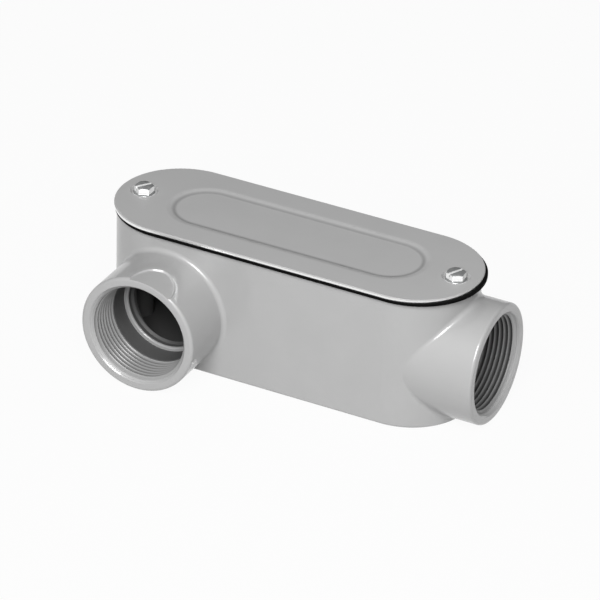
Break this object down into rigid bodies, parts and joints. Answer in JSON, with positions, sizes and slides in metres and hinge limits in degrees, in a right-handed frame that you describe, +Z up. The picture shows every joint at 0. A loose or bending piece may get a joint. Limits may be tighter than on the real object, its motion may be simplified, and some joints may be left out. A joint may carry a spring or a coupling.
{
  "type": "conduit body",
  "caption": "Elbow fitting for rigid conduit: obround cast trough with two tapped hubs, flat gasket and a screwed-on cover.",
  "frame": {"origin": "centre of the flat base of the body, which it stands on", "axes": "+X along the body towards the end hub's mouth, -Y out of the side hub's mouth, +Z up through the cover"},
  "size_m": [0.1887, 0.0893, 0.0689],
  "materials": {
    "casting_paint": "semi-gloss grey enamel on die-cast aluminium",
    "cover_paint": "semi-gloss grey enamel on formed aluminium",
    "gasket_rubber": "matt black neoprene",
    "screw_zinc": "bright zinc-plated steel"
  },
  "bodies": {
    "housing": {"body": "casting_paint", "gasket": "gasket_rubber"},
    "lid": {"cover": "cover_paint"},
    "screw_left": {"cover_screw_left": "screw_zinc"},
    "screw_right": {"cover_screw_right": "screw_zinc"}
  },
  "joints": [
    {"name": "cover_lift", "type": "slide", "parent": "housing", "child": "lid", "axis": [0, 0, 1], "range_m": [0, 0.03]},
    {"name": "screw_left_turn", "type": "hinge", "parent": "lid", "child": "screw_left", "pos_m": [-0.0777, 0, 0.066], "axis": [0, 0, 1], "range_deg": [0, 10210]},
    {"name": "screw_right_turn", "type": "hinge", "parent": "lid", "child": "screw_right", "pos_m": [0.0777, 0, 0.066], "axis": [0, 0, 1], "range_deg": [0, 10210]}
  ],
  "couplings": [
    {"joint": "screw_left_turn", "follows": "cover_lift", "rad_per_m": 5936.9},
    {"joint": "screw_right_turn", "follows": "cover_lift", "rad_per_m": 5936.9}
  ]
}
